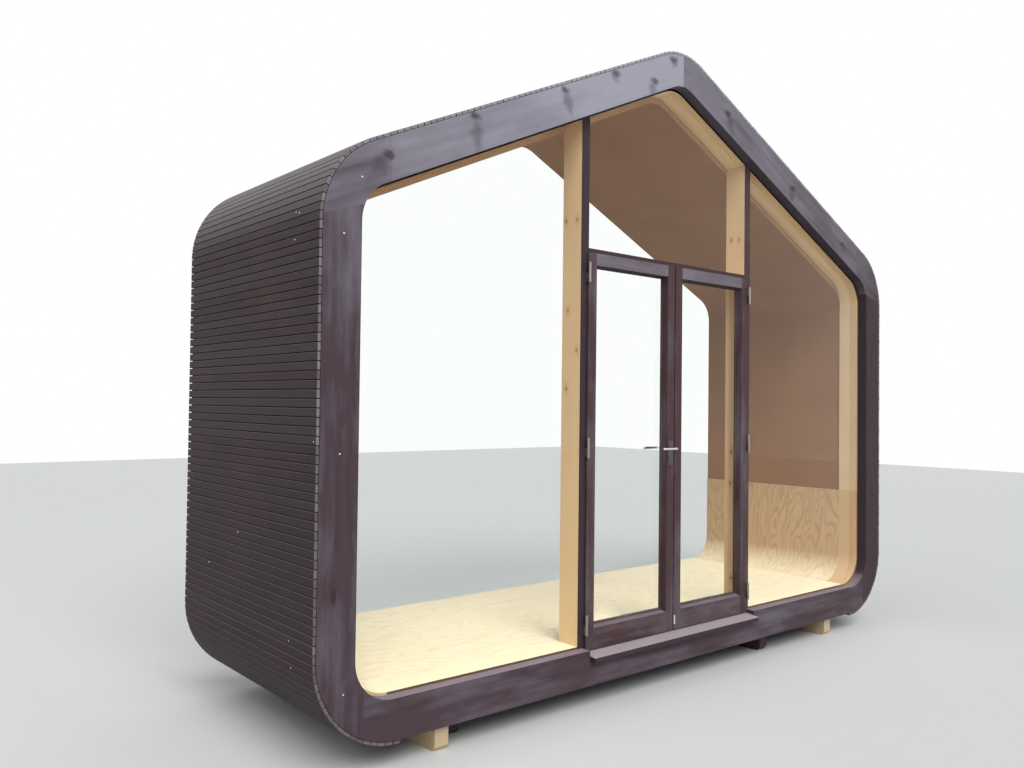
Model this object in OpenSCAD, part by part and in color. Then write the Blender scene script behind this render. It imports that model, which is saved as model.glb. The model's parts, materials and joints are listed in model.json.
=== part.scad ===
// Garden office pod: one module of a house-shaped pod. A wound cardboard sleeve forms floor,
// walls and pitched roof in one rounded outline, clad in dark slats. A timber front with
// fixed glass and two outward-opening glazed doors closes its front end, the rear is open.
// X is the width, Y runs from the front into the pod, Z is up, and it stands on four bearers.

/* [Shell] */
// Width over the slats
outer_w = 4600; // [3600:10:5600]
// Height of the sharp outer eave corner above the underside of the sleeve
wall_h = 2460; // [2360:10:3000]
// Slope of the roof in degrees
roof_pitch = 24.8; // [20:0.1:32]
// Radius of every outer corner of the outline
outer_r = 420; // [260:5:480]
// Radius of every inner corner of the outline
inner_r = 190; // [60:5:260]
// Depth from the face boards to the open rear end
pod_depth = 1406; // [900:1:3000]
// Thickness of the slat cladding
slat_t = 16; // [8:1:30]
// How far in from the side the slats stop under the floor
slat_reach = 410; // [120:5:700]
// Thickness of the cardboard sleeve in walls and floor, and width of the face boards
wall_t = 181; // [140:1:240]
// Extra thickness of the sleeve in the roof
roof_extra = 42; // [0:1:80]
// Thickness of the plywood on the floor and lower walls
ply_t = 8; // [4:1:9]
// Height of the plywood on the walls above the floor
ply_h = 649; // [300:1:1200]

/* [Front frame] */
// Depth of the dark face boards
face_t = 62; // [40:1:90]
// Depth of the pine frame behind them
pine_t = 146; // [100:1:220]
// How far the pine frame stands inside the face boards
pine_in = 9; // [9:1:25]
// Thickness of the fixed panes
pane_t = 8; // [5:1:14]
// How far the face boards lap over the edges of the panes
pane_lap = 9; // [4:1:20]
// Play round the edges of the panes in their groove
pane_play = 2; // [1:0.5:4]
// Width of each mullion and of the post behind it
mullion_w = 52; // [36:1:90]
// Clear width between the two mullions
opening_w = 1392; // [1100:2:1800]
// Height of the underside of the transom above the underside of the sleeve
head_z = 2242; // [1900:2:2300]
// Height of the transom
transom_h = 35; // [20:1:60]
// Seam between the stile and the eave corner board, height at the outer edge
stile_top_z = 2216; // [2000:1:2240]
// Rise of that seam towards the inner edge
stile_top_rise = 61; // [0:1:80]
// How far in from the side the upper seam of the eave corner board lies
eave_seam = 340; // [290:5:600]
// How far in from the side the bottom rail ends
rail_seam = 240; // [210:5:600]

/* [Door sill] */
// How far the sill stands out from the face boards
sill_out = 38; // [10:1:80]
// How far the sill reaches past the opening at each side
sill_horn = 24; // [16:1:50]
// Thickness of the sill at its front edge
sill_t = 25; // [15:1:35]
// Height of the sill's underside above the underside of the sleeve
sill_z = 124; // [100:1:130]
// Rise of the sill's top from its front edge to the doors
sill_rise = 11; // [4:1:14]
// Play under the doors
sill_gap = 6; // [5:0.5:10]

/* [Door leaves] */
// Thickness of a leaf
leaf_t = 58; // [50:1:78]
// Thickness of the lip that laps over the frame
lip_t = 8; // [5:1:14]
// Play between the lip and the face of the frame
lip_gap = 5; // [5:0.5:8]
// How far the lip laps over the frame beside and above the leaf
lip_lap = 11; // [7:0.5:16]
// Play round the body of a leaf
leaf_gap = 6; // [5:0.5:9]
// Width of the gap between the leaves at their face
meet_gap = 8; // [8:0.5:16]
// Bevel of each meeting edge from the face to the back
meet_bevel = 3; // [2:0.5:8]
// Width of the stiles as seen from outside
stile_w = 60; // [45:1:110]
// Height of the top rail as seen from outside
top_rail_h = 64; // [45:1:140]
// Height of the bottom rail as seen from outside
bottom_rail_h = 111; // [60:1:300]
// Set back of the glass behind the face of the leaf
leaf_pane_set = 46; // [20:1:46]
// Thickness of the glass in a leaf
leaf_pane_t = 6; // [4:0.5:8]
// Depth of the groove that holds the glass
leaf_groove = 8; // [4:0.5:12]
// Rise of the sloping ledge below the glass
ledge_rise = 11; // [0:1:20]
// Height of the bolt plate beside the meeting edge
bolt_plate_h = 52; // [30:1:120]
// Width of the bolt plate
bolt_plate_w = 13; // [8:1:24]
// Height of the bolt plate above the bottom of the leaf
bolt_plate_z = 32; // [5:1:200]

/* [Hinges] */
// Height of a hinge
hinge_h = 100; // [60:1:140]
// Radius of a hinge barrel
barrel_r = 7.5; // [7:0.5:8.5]
// Radius of a hinge pin
pin_r = 4; // [3:0.5:5]
// Play round a hinge pin
pin_play = 0.3; // [0.2:0.1:0.6]
// Distance of the hinge axis in front of the leaf
hinge_out = 12; // [12:0.5:20]
// Distance of the hinge axis beside the leaf
hinge_side = 4; // [4:0.5:8]
// Height of the lowest hinge's centre above the bottom of the leaf
hinge_low_inset = 134; // [80:1:400]
// Distance of the highest hinge's centre below the top of the leaf
hinge_top_inset = 108; // [80:1:400]
// Width of the arm that carries a knuckle
hinge_arm = 7; // [4:0.5:9]
// How far a pin ends below the top of its hinge
pin_short = 2; // [0:0.5:6]

/* [Handle] */
// Height of the lever above the bottom of the leaf
lever_z = 1039; // [800:1:1200]
// Distance of the spindle from the edge of the leaf
backset = 30; // [24:0.5:35]
// Length of the lever from the spindle
lever_len = 114; // [80:1:150]
// Radius of the lever
lever_r = 7; // [5:0.5:9]
// Distance of the lever's axis from the face of the leaf
lever_out = 48; // [35:1:70]
// Radius of the spindle
spindle_r = 5; // [3.5:0.5:6]
// Play round the spindle
spindle_play = 0.5; // [0.3:0.1:1]
// Width of a handle plate
plate_w = 42; // [30:1:48]
// Height of a handle plate
plate_h = 138; // [80:1:240]
// Thickness of a handle plate
plate_t = 3; // [2:0.5:6]
// Height of the plate above the spindle
plate_up = 43; // [20:1:120]

/* [Bearers] */
// Height of the bearers
bearer_h = 118; // [60:1:250]
// Width of a bearer
bearer_w = 75; // [50:1:150]
// Distance of the outer bearers from the centre
bearer_outer = 1634; // [1400:2:1700]
// Clear width between the left bearer and the dark bearer beside it
bearer_gap = 80; // [40:2:600]
// Distance of the dark bearer on the right from the centre
bearer_right = 948; // [300:2:1200]
// Set back of the bearers' ends behind the face boards and the rear end
bearer_set = 32; // [0:1:200]
// Set back of the left dark bearer's front end
dark_set_left = 155; // [0:1:400]
// Set back of the right dark bearer's front end
dark_set_right = 84; // [0:1:400]
// Chamfer under the ends of a bearer
bearer_chamfer = 22; // [0:1:50]

/* [Hidden] */
$fn = 96;
eps = 1;

half_w = outer_w / 2;
eave_seam_x = half_w - eave_seam;
rail_seam_x = half_w - rail_seam;
ridge_z = wall_h + half_w * tan(roof_pitch);
mid_y = (pod_depth - sill_out) / 2;

// Insets from the outer outline
sleeve_in = slat_t + wall_t;
groove_in = sleeve_in - pane_lap - pane_play;
pane_in = sleeve_in - pane_lap;
pine_inner = sleeve_in + pine_in;
ply_inner = sleeve_in + ply_t;

// Places along the depth
glass_y = face_t;
pine_y = face_t + pane_t;
sleeve_y = face_t + pine_t;
leaf_y = face_t - lip_gap - lip_t;
leaf_back_y = leaf_y + leaf_t;

// Heights above the underside of the sleeve
floor_z = sleeve_in - slat_t + ply_t;
sill_top_z = sill_z + sill_t + sill_rise;
leaf_z = sill_top_z + sill_gap;
leaf_top_z = head_z + lip_lap;
lever_axis_z = leaf_z + lever_z;

open_half = opening_w / 2;
post_half = open_half + mullion_w;
leaf_edge = open_half + lip_lap;
hinge_x = leaf_edge + hinge_side;
hinge_y = leaf_y - hinge_out;
hinge_low = leaf_z + hinge_low_inset;
hinge_high = leaf_top_z - hinge_top_inset;
hinge_zs = [hinge_low, (hinge_low + hinge_high) / 2, hinge_high];
spindle_x = -(meet_gap / 2 + backset);

STAIN = [0.30, 0.25, 0.28];
SLAT = [0.26, 0.24, 0.25];
PINE = [0.80, 0.66, 0.48];
BOARD = [0.46, 0.35, 0.27];
PLY = [0.80, 0.68, 0.50];
GLASS = [0.70, 0.80, 0.82, 0.35];
METAL = [0.75, 0.75, 0.77];

// Corners of the outline moved inwards by d, the roof lowered by a further drop
function corners(d, drop = 0) =
    let (w = half_w - d,
         top = ridge_z - (d + drop) / cos(roof_pitch),
         eave = top - w * tan(roof_pitch))
    [[w, d - slat_t], [w, eave], [0, top], [-w, eave], [-w, d - slat_t]];

// Outward directions of the floor, right wall, right roof, left roof and left wall
NORMALS = [[0, -1], [1, 0], [sin(roof_pitch), cos(roof_pitch)],
           [-sin(roof_pitch), cos(roof_pitch)], [-1, 0]];

// House outline moved inwards by d, with round corners of radius r
module outline(d, r, drop = 0) {
    c = corners(d + r, drop);
    polygon([for (i = [0:4]) each [c[i] + r * NORMALS[i], c[i] + r * NORMALS[(i + 1) % 5]]]);
    for (p = c)
        translate(p) circle(r);
}

// Band of the outline from inset d0 to inset d1
module band(d0, d1, drop = 0) {
    difference() {
        outline(d0, outer_r - d0);
        outline(d1, inner_r, drop);
    }
}

// Stretches a drawing of the front from depth y0 to depth y1
module deep(y0, y1) translate([0, y1, 0]) rotate([90, 0, 0]) linear_extrude(y1 - y0) children();

// Stretches a section, drawn as depth and height, from x0 to x1
module wide(x0, x1) translate([x0, 0, 0]) rotate([90, 0, 90]) linear_extrude(x1 - x0) children();

// Rectangle by its limits
module rect(x0, x1, z0, z1) translate([x0, z0]) square([x1 - x0, z1 - z0]);

// Block by its limits
module block(x0, x1, y0, y1, z0, z1) translate([x0, y0, z0]) cube([x1 - x0, y1 - y0, z1 - z0]);

// Puts what is drawn for the right side on side s: 1 is right, -1 is left
module side(s) mirror([s < 0 ? 1 : 0, 0, 0]) children();

// Moves the pod so that it stands on the floor with its middle over the origin
module pod() translate([0, -mid_y, bearer_h]) children();

// Sleeve and lining

module sleeve() {
    deep(sleeve_y, pod_depth) band(slat_t, sleeve_in, roof_extra);
}

module cladding(s) {
    side(s) deep(0, pod_depth) intersection() {
        skin(0, slat_t);
        union() {
            rect(half_w - slat_reach, half_w, -slat_t, outer_r);
            rect(0, half_w, outer_r, ridge_z);
        }
    }
}

// Even skin of the outline from inset d0 to inset d1, with corners of radius r at d0
module skin(d0, d1, r = outer_r) {
    difference() {
        outline(d0, r);
        outline(d1, r - d1 + d0);
    }
}

// Distance from the centre at which the floor sheet meets the bent wall sheets
function bend_x() = half_w - sleeve_in - inner_r;

module floor_sheet() {
    deep(sleeve_y, pod_depth) rect(-bend_x(), bend_x(), floor_z - ply_t, floor_z);
}

module lining_sheet(s) {
    side(s) deep(sleeve_y, pod_depth) intersection() {
        skin(sleeve_in, ply_inner, inner_r);
        rect(bend_x(), half_w, 0, floor_z + ply_h);
    }
}

// Pine frame

module pine_band() {
    band(slat_t, pine_inner);
}

// Groove in the front of the pine frame that holds the fixed panes
module pane_groove() {
    deep(glass_y - eps, pine_y) outline(groove_in, inner_r);
}

module pine_piece() {
    difference() {
        deep(face_t, sleeve_y) intersection() {
            pine_band();
            children();
        }
        pane_groove();
    }
}

// Distance from the centre of the joint between the sill and a jamb, where the inner corner begins
function jamb_foot_x() = half_w - pine_inner - inner_r;
function jamb_top_z() = wall_h - outer_r * tan((90 - roof_pitch) / 2);

module sill_beam() {
    difference() {
        pine_piece() rect(-jamb_foot_x(), jamb_foot_x(), -slat_t, outer_r);
        block(-open_half, open_half, face_t - eps, leaf_back_y + lip_gap, sill_z, outer_r);
    }
}

module jamb(s) {
    pine_piece() side(s) rect(jamb_foot_x(), half_w, -slat_t, jamb_top_z());
}

module pine_rafter(s) {
    pine_piece() side(s) rect(0, half_w, jamb_top_z(), ridge_z);
}

module post(s) {
    deep(pine_y, sleeve_y) intersection() {
        outline(pine_inner, inner_r);
        side(s) rect(open_half, post_half, 0, ridge_z);
    }
}

module header() {
    block(-open_half, open_half, pine_y, sleeve_y, head_z, head_z + transom_h);
}

// Face boards

module face_piece() {
    deep(0, face_t) intersection() {
        band(slat_t, sleeve_in);
        children();
    }
}

module rail_board() {
    difference() {
        face_piece() rect(-rail_seam_x, rail_seam_x, -slat_t, outer_r);
        block(-sill_half(), sill_half(), -eps, face_t + eps, sill_z, outer_r);
    }
}

module stile_board(s) {
    face_piece() side(s) difference() {
        rect(rail_seam_x, half_w, -slat_t, wall_h);
        eave_area();
    }
}

// Area of the eave corner board, on the right
module eave_area() {
    polygon([[half_w - sleeve_in - outer_r, stile_top_z + stile_top_rise],
             [half_w - sleeve_in, stile_top_z + stile_top_rise],
             [half_w - slat_t, stile_top_z], [half_w, stile_top_z],
             [half_w, ridge_z], [half_w - sleeve_in - outer_r, ridge_z]]);
}

module eave_board(s) {
    face_piece() side(s) intersection() {
        eave_area();
        rect(eave_seam_x, half_w, 0, ridge_z);
    }
}

module rafter_board(s) {
    face_piece() side(s) rect(0, eave_seam_x, outer_r, ridge_z);
}

// Mullions, transom, sill and fixed panes

module mullion(s) {
    deep(glass_y, pine_y) intersection() {
        outline(groove_in, inner_r);
        side(s) rect(open_half, post_half, 0, ridge_z);
    }
}

module transom_bar() {
    block(-open_half, open_half, glass_y, pine_y, head_z, head_z + transom_h);
}

function sill_half() = open_half + sill_horn;

module sill_section(back_y) {
    polygon([[-sill_out, sill_z], [-sill_out, sill_z + sill_t],
             [leaf_y, sill_top_z], [back_y, sill_top_z], [back_y, sill_z]]);
}

module sill_board() {
    wide(-sill_half(), sill_half()) sill_section(face_t);
    wide(-open_half, open_half) sill_section(leaf_back_y + lip_gap);
}

module window_pane(s) {
    deep(glass_y, pine_y) intersection() {
        outline(pane_in, inner_r);
        side(s) rect(post_half, half_w, 0, ridge_z);
    }
}

module toplight_pane() {
    deep(glass_y, pine_y) intersection() {
        outline(pane_in, inner_r);
        rect(-open_half, open_half, head_z + transom_h, ridge_z);
    }
}

// Door leaves, drawn for the right side

function leaf_pane_y() = leaf_y + leaf_pane_set;
function meet_x(y) = meet_gap / 2 + meet_bevel * (y - leaf_y) / leaf_t;
function lock_in() = meet_gap / 2 + stile_w;
function hinge_in() = leaf_edge - stile_w;

// Space for the glass, with its groove in the frame of the leaf
module leaf_pane_block() {
    block(lock_in() - leaf_groove, hinge_in() + leaf_groove, leaf_pane_y(), leaf_pane_y() + leaf_pane_t,
          leaf_z + bottom_rail_h + ledge_rise - leaf_groove, leaf_top_z - top_rail_h + leaf_groove);
}

module hinge_stile() {
    difference() {
        union() {
            block(hinge_in(), open_half - leaf_gap, leaf_y, leaf_back_y, leaf_z, head_z - leaf_gap);
            block(hinge_in(), leaf_edge, leaf_y, leaf_y + lip_t, leaf_z, leaf_top_z);
        }
        leaf_pane_block();
    }
}

module lock_stile() {
    difference() {
        union() {
            lock_part(leaf_y + lip_t, leaf_back_y, head_z - leaf_gap);
            lock_part(leaf_y, leaf_y + lip_t, leaf_top_z);
        }
        leaf_pane_block();
    }
}

// Part of the lock stile from depth y0 to depth y1, with its bevelled meeting edge
module lock_part(y0, y1, top) {
    translate([0, 0, leaf_z]) linear_extrude(top - leaf_z)
        polygon([[meet_x(y0), y0], [lock_in(), y0], [lock_in(), y1], [meet_x(y1), y1]]);
}

module top_rail() {
    difference() {
        union() {
            block(lock_in(), hinge_in(), leaf_y, leaf_back_y,
                  leaf_top_z - top_rail_h, head_z - leaf_gap);
            block(lock_in(), hinge_in(), leaf_y, leaf_y + lip_t,
                  leaf_top_z - top_rail_h, leaf_top_z);
        }
        leaf_pane_block();
    }
}

module bottom_rail() {
    rail_top = leaf_z + bottom_rail_h;
    difference() {
        wide(lock_in(), hinge_in())
            polygon([[leaf_y, leaf_z], [leaf_y, rail_top], [leaf_pane_y(), rail_top + ledge_rise],
                     [leaf_back_y, rail_top + ledge_rise], [leaf_back_y, leaf_z]]);
        leaf_pane_block();
    }
}

// Hole for the spindle through the stile or a plate
module spindle_hole(y0, y1) {
    translate([spindle_x, y0 - eps, lever_axis_z]) rotate([-90, 0, 0])
        cylinder(h = y1 - y0 + 2 * eps, r = spindle_r + spindle_play);
}

// Hinges, drawn for the right side

// Lower knuckles with their pins and arms, fixed to the mullion
module fixed_knuckles() {
    for (z = hinge_zs) {
        translate([hinge_x, hinge_y, z - hinge_h / 2]) {
            cylinder(h = hinge_h / 2, r = barrel_r);
            cylinder(h = hinge_h - pin_short, r = pin_r);
        }
        block(leaf_edge + lip_gap, leaf_edge + lip_gap + hinge_arm, hinge_y, glass_y,
              z - hinge_h / 2, z - pin_play);
    }
}

// Upper knuckles with their arms, fixed to the face of the leaf
module leaf_knuckles() {
    for (z = hinge_zs)
        difference() {
            union() {
                translate([hinge_x, hinge_y, z + pin_play]) cylinder(h = hinge_h / 2, r = barrel_r);
                block(leaf_edge - hinge_arm, leaf_edge, hinge_y, leaf_y, z + pin_play, z + hinge_h / 2);
            }
            translate([hinge_x, hinge_y, z - eps]) cylinder(h = hinge_h, r = pin_r + pin_play);
        }
}

// Handle

module plate(y0) {
    difference() {
        block(spindle_x - plate_w / 2, spindle_x + plate_w / 2, y0, y0 + plate_t,
              lever_axis_z + plate_up - plate_h, lever_axis_z + plate_up);
        spindle_hole(y0, y0 + plate_t);
    }
}

module lever_set() {
    front = leaf_y - lever_out;
    back = leaf_back_y + lever_out;
    translate([spindle_x, front, lever_axis_z]) rotate([-90, 0, 0])
        cylinder(h = back - front, r = spindle_r);
    for (y = [front, back])
        translate([spindle_x, y, lever_axis_z]) {
            sphere(r = lever_r);
            rotate([0, -90, 0]) cylinder(h = lever_len - lever_r, r = lever_r);
            translate([lever_r - lever_len, 0, 0]) sphere(r = lever_r);
        }
}

// Bearers

module bearer(x, y0 = bearer_set) {
    y1 = pod_depth - bearer_set;
    wide(x - bearer_w / 2, x + bearer_w / 2)
        polygon([[y0, 0], [y0, bearer_chamfer - bearer_h], [y0 + bearer_chamfer, -bearer_h],
                 [y1 - bearer_chamfer, -bearer_h], [y1, bearer_chamfer - bearer_h], [y1, 0]]);
}

// Nodes

module cardboard_sleeve() color(BOARD) pod() sleeve();
module cladding_left() color(SLAT) pod() cladding(-1);
module cladding_right() color(SLAT) pod() cladding(1);
module ply_floor() color(PLY) pod() floor_sheet();
module ply_lining_left() color(PLY) pod() lining_sheet(-1);
module ply_lining_right() color(PLY) pod() lining_sheet(1);
module pine_sill() color(PINE) pod() sill_beam();
module pine_jamb_left() color(PINE) pod() jamb(-1);
module pine_jamb_right() color(PINE) pod() jamb(1);
module pine_rafter_left() color(PINE) pod() pine_rafter(-1);
module pine_rafter_right() color(PINE) pod() pine_rafter(1);
module post_left() color(PINE) pod() post(-1);
module post_right() color(PINE) pod() post(1);
module pine_header() color(PINE) pod() header();
module face_rail() color(STAIN) pod() rail_board();
module face_stile_left() color(STAIN) pod() stile_board(-1);
module face_stile_right() color(STAIN) pod() stile_board(1);
module face_eave_left() color(STAIN) pod() eave_board(-1);
module face_eave_right() color(STAIN) pod() eave_board(1);
module face_rafter_left() color(STAIN) pod() rafter_board(-1);
module face_rafter_right() color(STAIN) pod() rafter_board(1);
module mullion_left() color(STAIN) pod() mullion(-1);
module mullion_right() color(STAIN) pod() mullion(1);
module transom() color(STAIN) pod() transom_bar();
module door_sill() color(STAIN) pod() sill_board();
module window_glass_left() color(GLASS) pod() window_pane(-1);
module window_glass_right() color(GLASS) pod() window_pane(1);
module toplight_glass() color(GLASS) pod() toplight_pane();
module left_hinge_stile() color(STAIN) pod() side(-1) hinge_stile();
module left_top_rail() color(STAIN) pod() side(-1) top_rail();
module left_bottom_rail() color(STAIN) pod() side(-1) bottom_rail();
module left_door_glass() color(GLASS) pod() side(-1) leaf_pane_block();
module right_hinge_stile() color(STAIN) pod() hinge_stile();
module right_lock_stile() color(STAIN) pod() lock_stile();
module right_top_rail() color(STAIN) pod() top_rail();
module right_bottom_rail() color(STAIN) pod() bottom_rail();
module right_door_glass() color(GLASS) pod() leaf_pane_block();
module left_knuckles() color(METAL) pod() side(-1) leaf_knuckles();
module right_knuckles() color(METAL) pod() leaf_knuckles();
module lever_handle() color(METAL) pod() lever_set();

module left_lock_stile() {
    color(STAIN) pod() difference() {
        side(-1) lock_stile();
        spindle_hole(leaf_y, leaf_back_y);
    }
}

module hinge_pins() {
    color(METAL) pod() for (s = [-1, 1])
        side(s) fixed_knuckles();
}

module handle_plates() {
    color(METAL) pod() {
        plate(leaf_y - plate_t);
        plate(leaf_back_y);
    }
}

module bolt_plate() {
    color(METAL) pod()
        block(meet_gap / 2, meet_gap / 2 + bolt_plate_w, leaf_y - plate_t, leaf_y,
              leaf_z + bolt_plate_z, leaf_z + bolt_plate_z + bolt_plate_h);
}

module bearers() {
    color(PINE) pod() {
        bearer(-bearer_outer);
        bearer(bearer_w + bearer_gap - bearer_outer, dark_set_left);
        bearer(bearer_right, dark_set_right);
        bearer(bearer_outer);
    }
}

cardboard_sleeve();
cladding_left();
cladding_right();
ply_floor();
ply_lining_left();
ply_lining_right();
pine_sill();
pine_jamb_left();
pine_jamb_right();
pine_rafter_left();
pine_rafter_right();
post_left();
post_right();
pine_header();
face_rail();
face_stile_left();
face_stile_right();
face_eave_left();
face_eave_right();
face_rafter_left();
face_rafter_right();
mullion_left();
mullion_right();
transom();
door_sill();
window_glass_left();
window_glass_right();
toplight_glass();
left_hinge_stile();
left_lock_stile();
left_top_rail();
left_bottom_rail();
left_door_glass();
right_hinge_stile();
right_lock_stile();
right_top_rail();
right_bottom_rail();
right_door_glass();
hinge_pins();
left_knuckles();
right_knuckles();
handle_plates();
lever_handle();
bolt_plate();
bearers();
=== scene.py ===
# %% [markdown]
# Garden office pod: one house-shaped module on four bearers. The real one is wound from cardboard
# round a mould, clad with dark slats, and closed in front by stained timber boards with glass.
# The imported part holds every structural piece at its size. This script adds what a drawing of
# solids leaves out: separate slats, the corrugated edge, fixings, beads, seals and all finishes.

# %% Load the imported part
import json
import math
import random

import bmesh
import bpy
from mathutils import Matrix, Vector


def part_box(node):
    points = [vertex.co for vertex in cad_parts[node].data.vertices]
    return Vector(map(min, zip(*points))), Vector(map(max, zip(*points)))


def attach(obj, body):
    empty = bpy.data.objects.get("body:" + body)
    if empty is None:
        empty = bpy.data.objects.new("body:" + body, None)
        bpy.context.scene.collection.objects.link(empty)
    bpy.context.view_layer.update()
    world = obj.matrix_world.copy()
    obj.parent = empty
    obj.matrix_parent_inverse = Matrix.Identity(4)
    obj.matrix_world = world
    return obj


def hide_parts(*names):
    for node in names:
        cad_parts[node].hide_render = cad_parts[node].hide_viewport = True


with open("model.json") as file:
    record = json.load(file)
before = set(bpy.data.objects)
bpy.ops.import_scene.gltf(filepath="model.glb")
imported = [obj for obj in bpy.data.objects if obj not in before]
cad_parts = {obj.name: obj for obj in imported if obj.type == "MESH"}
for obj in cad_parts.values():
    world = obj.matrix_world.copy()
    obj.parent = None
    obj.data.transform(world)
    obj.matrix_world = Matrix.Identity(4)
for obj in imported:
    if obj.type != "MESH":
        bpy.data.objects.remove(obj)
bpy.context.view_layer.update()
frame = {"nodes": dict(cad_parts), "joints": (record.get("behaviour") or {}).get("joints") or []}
MM = 0.001

# %% [markdown]
# The camera stands where the photo was taken from: left of the pod, at eye height, turned forty
# degrees to the right. It could be placed by eye, but a fit to the straight edges of the front
# and the floor gives the place, the three angles and the lens at once, so those are used.

# %% Camera
CAMERA_PLACE, LENS, SENSOR = (-3.990, -3.895, 1.566), 30.916, 36
CAMERA_YAW, CAMERA_PITCH, CAMERA_ROLL = (math.radians(a) for a in (40.267, 1.305, 0.678))


def into_scene(name, data, matrix):
    """A camera or a lamp, set in the scene by a matrix."""
    item = bpy.data.objects.new(name, data)
    item.matrix_world = matrix
    bpy.context.scene.collection.objects.link(item)
    return item


camera_data = bpy.data.cameras.new("camera")
camera_data.lens, camera_data.sensor_width = LENS, SENSOR
bpy.context.scene.camera = into_scene(
    "camera",
    camera_data,
    Matrix.Translation(CAMERA_PLACE)
    @ Matrix.Rotation(-CAMERA_YAW, 4, "Z")
    @ Matrix.Rotation(math.pi / 2 + CAMERA_PITCH, 4, "X")
    @ Matrix.Rotation(CAMERA_ROLL, 4, "Z"),
)
print("camera at", CAMERA_PLACE, "lens", LENS)

# %% [markdown]
# Almost everything here follows one line: the house outline with round corners. Its width, height
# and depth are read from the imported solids, and only the roof slope and the corner radii are
# written down. A small class walks along that outline by length, and finds the length back from
# a place, so that slats, sheets and patterns all share it.

# %% House outline
ROOF_ANGLE = 24.8
PITCH, TINY = math.radians(ROOF_ANGLE), 1e-6
OUTER_R, INNER_R = 420 * MM, 190 * MM
SLAT_T, WALL_T, ROOF_EXTRA, PLY_T = 16 * MM, 181 * MM, 42 * MM, 8 * MM
FRONT_Y, REAR_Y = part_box("face_rail")[0].y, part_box("cardboard_sleeve")[1].y
SLEEVE_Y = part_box("cardboard_sleeve")[0].y
HALF_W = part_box("cladding_right")[1].x
BASE_Z, TOP_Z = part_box("cladding_left")[0].z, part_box("cladding_left")[1].z
RIDGE_Z = TOP_Z + OUTER_R * (1 / math.cos(PITCH) - 1)


class Outline:
    """House outline moved inwards by inset, with round corners and the roof lowered by drop."""

    def __init__(self, inset, radius, drop=0.0):
        self.radius = radius
        reach = inset + radius
        x = HALF_W - reach
        ridge = Vector((0, RIDGE_Z - (reach + drop) / math.cos(PITCH)))
        eave = Vector((x, ridge.y - x * math.tan(PITCH)))
        foot = Vector((x, BASE_Z + reach))
        # From the ridge to the middle of the floor: each corner's centre, the angle where it
        # starts, its turn, and the length of the straight after it
        self.legs = [
            (ridge, 0.0, PITCH, (eave - ridge).length),
            (eave, PITCH, math.pi / 2 - PITCH, eave.y - foot.y),
            (foot, math.pi / 2, math.pi / 2, x),
        ]
        self.half = sum(turn * radius + run for _, _, turn, run in self.legs)

    def at(self, s):
        """Place (x, z) and angle of the outward way from upright, at length s from the ridge."""
        side, left = math.copysign(1, s), abs(s)
        for centre, start, turn, run in self.legs:
            arc = turn * self.radius
            if left <= arc + run:
                break
            left -= arc + run
        angle = start + min(left, arc) / self.radius
        x = centre.x + self.radius * math.sin(angle) + max(left - arc, 0) * math.cos(angle)
        z = centre.y + self.radius * math.cos(angle) - max(left - arc, 0) * math.sin(angle)
        return Vector((side * x, z)), side * angle

    def find(self, x, z):
        """Length from the ridge and depth inside the outline, of a place in the wall."""
        side, place, s = math.copysign(1, x), Vector((abs(x), z)), 0.0
        for centre, start, turn, run in self.legs:
            off = place - centre
            angle = math.atan2(off.x, off.y) % (2 * math.pi)
            if start - TINY <= angle <= start + turn:
                return side * (s + (angle - start) * self.radius), self.radius - off.length
            end = start + turn
            run_at = off.dot(Vector((math.cos(end), -math.sin(end))))
            out_at = off.dot(Vector((math.sin(end), math.cos(end))))
            s += turn * self.radius
            if 0 <= run_at <= run and out_at > 0:
                return side * (s + run_at), self.radius - out_at
            s += run
        return side * s, 0.0


outer = Outline(0, OUTER_R)
sleeve_outer = Outline(SLAT_T, OUTER_R - SLAT_T)
sleeve_inner = Outline(SLAT_T + WALL_T, INNER_R, ROOF_EXTRA)
lining_outer = Outline(SLAT_T + WALL_T, INNER_R)
print("outline, round the outside:", round(2 * outer.half, 3), "m")

# %% [markdown]
# Modelling goes as by hand: a primitive at its size, then edit mode. These helpers only save
# typing. Some add a box or a disc, one opens edit mode and picks faces or edges by a test in code,
# since there is no mouse here, and the others are steps of edit mode that are used often.

# %% Modelling helpers
def deselect():
    if bpy.context.object and bpy.context.object.mode != "OBJECT":
        bpy.ops.object.mode_set(mode="OBJECT")
    bpy.ops.object.select_all(action="DESELECT")


def make_active(piece):
    deselect()
    piece.select_set(True)
    bpy.context.view_layer.objects.active = piece


def named(name, size=(1, 1, 1)):
    """The object that the last operator made, sized, and with its place moved into its mesh."""
    piece = bpy.context.object
    piece.name = piece.data.name = name
    piece.scale = size
    bpy.ops.object.transform_apply(location=True, rotation=True, scale=True)
    return piece


def add_box(name, low, high):
    low, high = Vector(low), Vector(high)
    deselect()
    bpy.ops.mesh.primitive_cube_add(size=1, location=(low + high) / 2)
    return named(name, high - low)


def add_disc(name, place, radius, height, turn=(math.pi / 2, 0, 0), sides=24):
    """A disc that faces front and back, unless turn says otherwise."""
    deselect()
    bpy.ops.mesh.primitive_cylinder_add(
        vertices=sides, radius=radius, depth=height, location=place, rotation=turn
    )
    return named(name)


def pick(piece, kind, test):
    """Opens edit mode on a piece and selects the faces, edges or verts that pass a test."""
    make_active(piece)
    bpy.ops.object.mode_set(mode="EDIT")
    bpy.ops.mesh.select_all(action="DESELECT")
    bpy.ops.mesh.select_mode(type=kind[:-1].upper())
    shape = bmesh.from_edit_mesh(piece.data)
    for item in getattr(shape, kind):
        item.select_set(bool(test(item)))
    shape.select_flush_mode()
    bmesh.update_edit_mesh(piece.data)


SQUARE = 0.9  # cosine above which a direction counts as an axis
SHARP, TOLERANCE = math.radians(35), 0.1 * MM


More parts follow.
